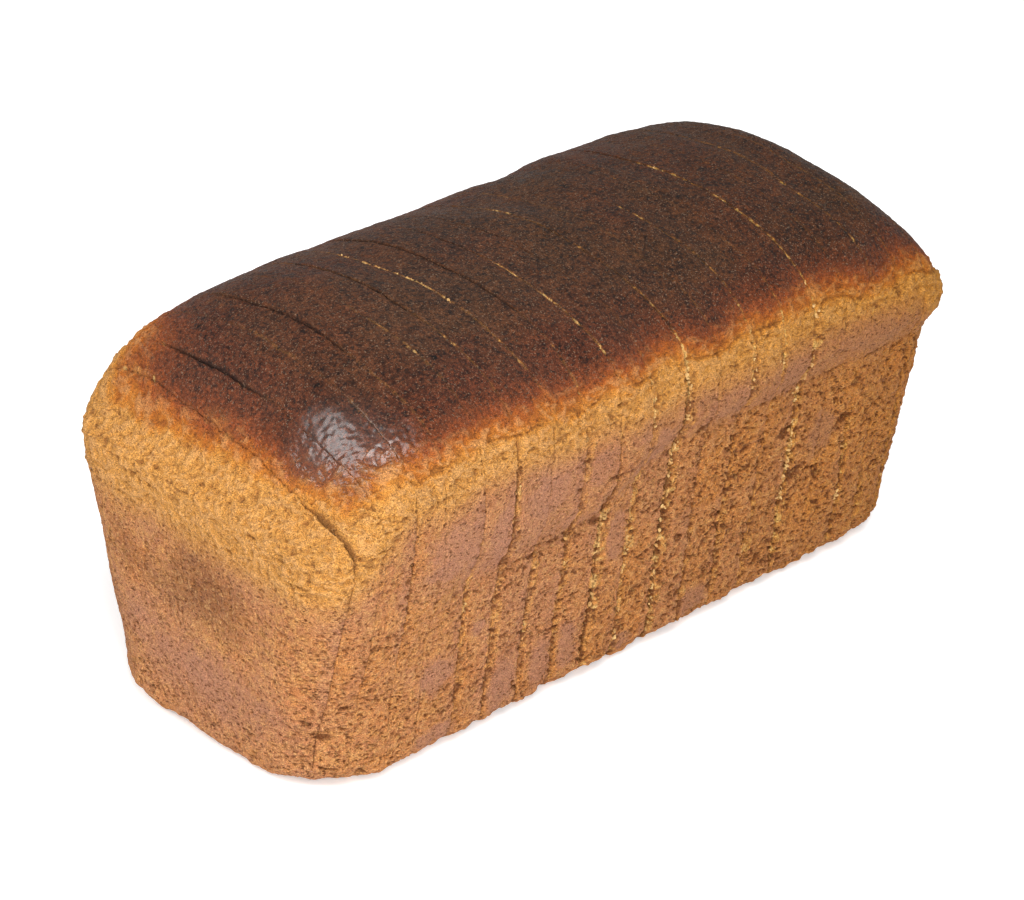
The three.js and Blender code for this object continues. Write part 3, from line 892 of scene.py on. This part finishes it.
for number in range(1, last):
    low = CUTS[number - 1] + CUT_GAP / 2
    high = CUTS[number] - CUT_GAP / 2
    node = f"slice_{number:02d}"
    piece = blank.copy()
    piece.data = blank.data.copy()
    piece.name = piece.data.name = f"bread_{node}"
    bpy.context.collection.objects.link(piece)
    bpy.context.view_layer.objects.active = piece
    piece.select_set(True)
    station = low + (high - low) * along
    turn = turn_at(low) + (turn_at(high) - turn_at(low)) * along
    middle = np.stack([station, np.zeros(len(along)), np.full(len(along), AXIS_HEIGHT)], 1)
    ray = np.stack([turn * blank_points[:, 1], blank_points[:, 1], blank_points[:, 2] - AXIS_HEIGHT], 1)
    points = swollen(seated(middle, ray))
    points[:, 0] = station + turn * points[:, 1]
    move_points(piece.data, points)
    normal = outward(piece.data)
    height, masks = crust_relief(points)
    masks["bare_crumb"] = np.zeros(len(points))
    shifted = station.copy()
    beside = np.zeros((2, len(points)))
    for cut, away, side in ((number - 1, station - low, 1.0), (number, high - station, -1.0)):
        relief, bare, stripe, shift, meet = cut_edge(cut, points, away, side)
        height += relief
        shifted += shift
        beside += np.outer(step_across(number, number - int(side)), meet)
        # The cut's relief also goes into the relief mask, which the material paints dark as shade along the
        # cut
        masks["relief"] = masks["relief"] + relief
        masks["bare_crumb"] = np.maximum(masks["bare_crumb"], bare)
        masks["crag" if side > 0 else "pinkness"] += STRIPE_SHARE * stripe
    points = points + upright_of(normal) * (height - (shifted - station) * normal[:, 0])[:, None]
    points[:, 0] = shifted + turn * points[:, 1]
    points[:, 1] += beside[0]
    points[:, 2] = np.maximum(points[:, 2] * (1.0 + beside[1]), 0.0)
    move_points(piece.data, points)
    write_masks(piece.data, masks)
    close_cut(piece, share < RIM, low, float(turn_at(low)))
    rim = np.zeros(len(piece.data.vertices), bool)
    rim[: len(share)] = share > 1 - RIM
    close_cut(piece, rim, high, float(turn_at(high)))
    finish_piece(piece, node, slips[number], rises[number])
    piece.select_set(False)
bpy.data.objects.remove(blank)

# The heels: the two ends of the loaf, cut on one side and baked on all the others.
# Their end faces were pressed by the tin as the long walls were, and keep a rounded upper edge.
HEEL_CELLS = ((30,), (13, 20), (10, 22), (13, 20))
NEAR_BLOCK_TOP, FAR_BLOCK_TOP = 80.0, 92.0
# Where the block's lower edge comes to lie on the curve of the foot: in from the end face, and up
FOOT_EDGE_IN, FOOT_EDGE_UP = 2.5, 3.5
for node, number, side in (("heel_near", 0, -1), ("heel_far", last, 1)):
    cut = CUTS[0] - CUT_GAP / 2 if side < 0 else CUTS[-1] + CUT_GAP / 2
    end = side * LENGTH / 2
    low, high = sorted((cut, end))
    tall = NEAR_BLOCK_TOP if side < 0 else FAR_BLOCK_TOP
    foot = AXIS_HEIGHT - (AXIS_HEIGHT - FOOT_EDGE_UP) * (high - low) / (high - low - FOOT_EDGE_IN)
    piece = add_block(f"bread_{node}", (low, -WIDTH / 2, foot), (high, WIDTH / 2, tall), HEEL_CELLS, (-side,))
    block = mesh_points(piece.data)
    share = np.clip((block[:, 0] - cut) / (end - cut), 0.0, 1.0)
    middle = np.array([cut, 0.0, AXIS_HEIGHT])
    ray = block - middle
    turn = float(turn_at(cut)) * (1.0 - share)
    ray[:, 0] += turn * ray[:, 1]
    points = swollen(seated(np.tile(middle, (len(block), 1)), ray))
    rim = share < RIM
    points[rim, 0] = cut + turn[rim] * points[rim, 1]
    move_points(piece.data, points)
    normal = outward(piece.data)
    height, masks = crust_relief(points)
    away = np.abs(points[:, 0] - cut - turn * points[:, 1])
    relief, bare, stripe, shift, meet = cut_edge(0 if side < 0 else last - 1, points, away, side)
    height += relief
    # The cut's relief also goes into the relief mask, which the material paints dark as shade along the cut
    masks["relief"] = masks["relief"] + relief
    masks["bare_crumb"] = bare
    masks["crag" if side > 0 else "pinkness"] += STRIPE_SHARE * stripe
    upright = upright_of(normal)
    normal[rim] = upright[rim]
    points = points + normal * height[:, None] - upright * (shift * normal[:, 0] * (away < 2.5))[:, None]
    points[rim, 0] = cut + turn[rim] * points[rim, 1]
    points[:, 0] += shift
    aside, taller = step_across(number, number - side)
    points[:, 1] += aside * meet
    points[:, 2] = np.maximum(points[:, 2] * (1.0 + taller * meet), 0.0)
    move_points(piece.data, points)
    write_masks(piece.data, masks)
    close_cut(piece, rim, cut, float(turn_at(cut)))
    finish_piece(piece, node, slips[number], rises[number])
    piece.select_set(False)

# The crumbs: bits of the open rye crumb that the blades tore off and left sitting in the cuts.
# Four small lumps are shaped once, and their copies are strewn where a cut shows pale, in one piece.
CRUMB_SHAPES = 4
CRUMB_TRIES = 380
CRUMB_RADII = (0.18, 0.5)
CRUMB_ANGLES = (-42.0, 222.0)
CRUMB_SEED = 7
DULL_CRUMB, FRESH_CRUMB, CRUMB_SHADOW = (0.46, 0.22, 0.06), (0.68, 0.44, 0.17), (0.30, 0.14, 0.04)

torn_crumb, tree, shader, place = start_material("pale_torn_crumb")
grain = add_grain(tree, place, 1500.0, 1.0)
tone = add_attribute(tree, "paleness")
colour = add_mix(tree, tone, DULL_CRUMB, FRESH_CRUMB)
colour = add_mix(tree, add_product(tree, grain["Pits"], 0.5), colour, CRUMB_SHADOW)
tree.links.new(colour, shader.inputs["Base Color"])
shader.inputs["Roughness"].default_value = 0.9
tree.links.new(add_bump(tree, grain["Height"], 0.8, 0.0003), shader.inputs["Normal"])

shapes = []
for shape in range(CRUMB_SHAPES):
    bpy.ops.mesh.primitive_ico_sphere_add(subdivisions=2, radius=0.001, location=(0.0, 0.0, 0.0))
    lump = bpy.context.object
    corners = mesh_points(lump.data)
    corners *= 1.0 + 0.8 * lumps(corners + 9.0 * shape, 0.5, 61)[:, None]
    corners *= (1.0, 0.75, 0.6)
    shapes.append(corners)
    faces = np.array([face.vertices[:] for face in lump.data.polygons])
    bpy.data.objects.remove(lump)

draw = np.random.default_rng(CRUMB_SEED)
crumb_points, crumb_faces, crumb_tones = [], [], []
for cut, station in enumerate(CUTS):
    angle = draw.uniform(*CRUMB_ANGLES, CRUMB_TRIES)
    turn = float(turn_at(station))
    out = np.stack([np.zeros(CRUMB_TRIES), -np.cos(np.radians(angle)), np.sin(np.radians(angle))], 1)
    ray = 80.0 * out
    ray[:, 0] = turn * ray[:, 1]
    spots = swollen(seated(np.tile([station, 0.0, AXIS_HEIGHT], (CRUMB_TRIES, 1)), ray))
    pale = look_along(cut, 1, angle)
    chance = pale**1.5 * bare_dashes(cut, spots, pale)
    kept = draw.uniform(0.0, 1.0, CRUMB_TRIES) < chance
    on_side = 1.0 - eased(spots[:, 2], 80.0, 88.0)
    radii = draw.uniform(*CRUMB_RADII, CRUMB_TRIES) * (0.75 + 0.35 * on_side)
    aside = draw.normal(0.0, 0.18 + 0.35 * on_side)
    turns = draw.uniform(-math.pi, math.pi, (CRUMB_TRIES, 3))
    tones = draw.uniform(0.0, 1.0, CRUMB_TRIES)
    for spot in np.flatnonzero(kept & (spots[:, 2] > 1.5)):
        middle = spots[spot] - out[spot] * 0.5 * radii[spot]
        middle[0] += aside[spot]
        corners = shapes[spot % CRUMB_SHAPES] * radii[spot]
        for axis, angle_round in zip("XYZ", turns[spot]):
            corners = corners @ np.array(Matrix.Rotation(angle_round, 3, axis))
        slip, rise = (slips[cut] + slips[cut + 1]) / 2, (rises[cut] + rises[cut + 1]) / 2
        corners = stood(corners + middle, slip, rise)
        crumb_faces.append(faces + len(crumb_points) * len(corners))
        crumb_points.append(corners)
        crumb_tones.append(np.full(len(corners), tones[spot]))
strewn = bpy.data.meshes.new("crumbs_in_cuts")
strewn.from_pydata(np.concatenate(crumb_points) / 1000.0, [], np.concatenate(crumb_faces))
strewn.attributes.new("paleness", "FLOAT", "POINT").data.foreach_set("value", np.concatenate(crumb_tones))
strewn.materials.append(torn_crumb)
crumbs = bpy.data.objects.new("crumbs_in_cuts", strewn)
bpy.context.collection.objects.link(crumbs)
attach(crumbs, "root")

# The studio: the loaf stands on white paper for its picture, under plain soft boxes, and the
# camera looks down on its near end and its long side.
bpy.ops.mesh.primitive_plane_add(size=6.0, location=(0.0, 0.0, -0.0002))
floor = bpy.context.object
floor.name = "studio_floor"
paper = bpy.data.materials.new("white_paper")
paper.use_nodes = True
shader = paper.node_tree.nodes["Principled BSDF"]
shader.inputs["Base Color"].default_value = (0.92, 0.92, 0.92, 1.0)
shader.inputs["Roughness"].default_value = 0.9
shader.inputs["Emission Color"].default_value = (1.0, 1.0, 1.0, 1.0)
shader.inputs["Emission Strength"].default_value = 0.3
floor.data.materials.append(paper)

world = bpy.data.worlds.new("studio_white")
world.use_nodes = True
backdrop = world.node_tree.nodes["Background"]
backdrop.inputs["Color"].default_value = (1.0, 1.0, 1.0, 1.0)
backdrop.inputs["Strength"].default_value = 0.42
bpy.context.scene.world = world


# The point that the lamps and the camera look at, in metres
STUDIO_AIM = Vector((0.0, 0.0, 0.05))


def add_softbox(name, place, size, power):
    bpy.ops.object.light_add(type="AREA", location=place)
    lamp = bpy.context.object
    lamp.name = name
    lamp.data.shape = "RECTANGLE"
    lamp.data.size, lamp.data.size_y = size
    lamp.data.energy = power
    lamp.rotation_euler = (STUDIO_AIM - Vector(place)).to_track_quat("-Z", "Y").to_euler()


add_softbox("softbox_above", (-0.3, -0.45, 0.88), (0.45, 0.45), 8.2)
add_softbox("softbox_front", (-0.42, -0.62, 0.4), (0.4, 0.4), 4.1)
add_softbox("softbox_end", (-0.84, 0.21, 0.86), (0.5, 0.5), 6.0)
add_softbox("softbox_behind", (0.66, 0.4, 0.7), (0.4, 0.4), 0.5)

CAMERA_DISTANCE = 0.99555
azimuth, elevation, roll = math.radians(-45.886), math.radians(29.488), math.radians(2.974)
reach = math.cos(elevation)
back = Vector((math.sin(azimuth) * reach, -math.cos(azimuth) * reach, math.sin(elevation)))
level = Vector((math.cos(azimuth), math.sin(azimuth), 0.0))
upward = back.cross(level)
right = level * math.cos(roll) + upward * math.sin(roll)
above = -level * math.sin(roll) + upward * math.cos(roll)
camera_data = bpy.data.cameras.new("studio_camera")
camera = bpy.data.objects.new("studio_camera", camera_data)
bpy.context.collection.objects.link(camera)
turned = Matrix((right, above, back)).transposed().to_4x4()
camera.matrix_world = Matrix.Translation(STUDIO_AIM + back * CAMERA_DISTANCE) @ turned
camera_data.sensor_width = 36.0
camera_data.lens = 142.77
camera_data.shift_x = -0.01288
camera_data.shift_y = -0.03232
camera_data.clip_start = 0.01
bpy.context.scene.camera = camera
bpy.context.scene.view_settings.view_transform = "Standard"
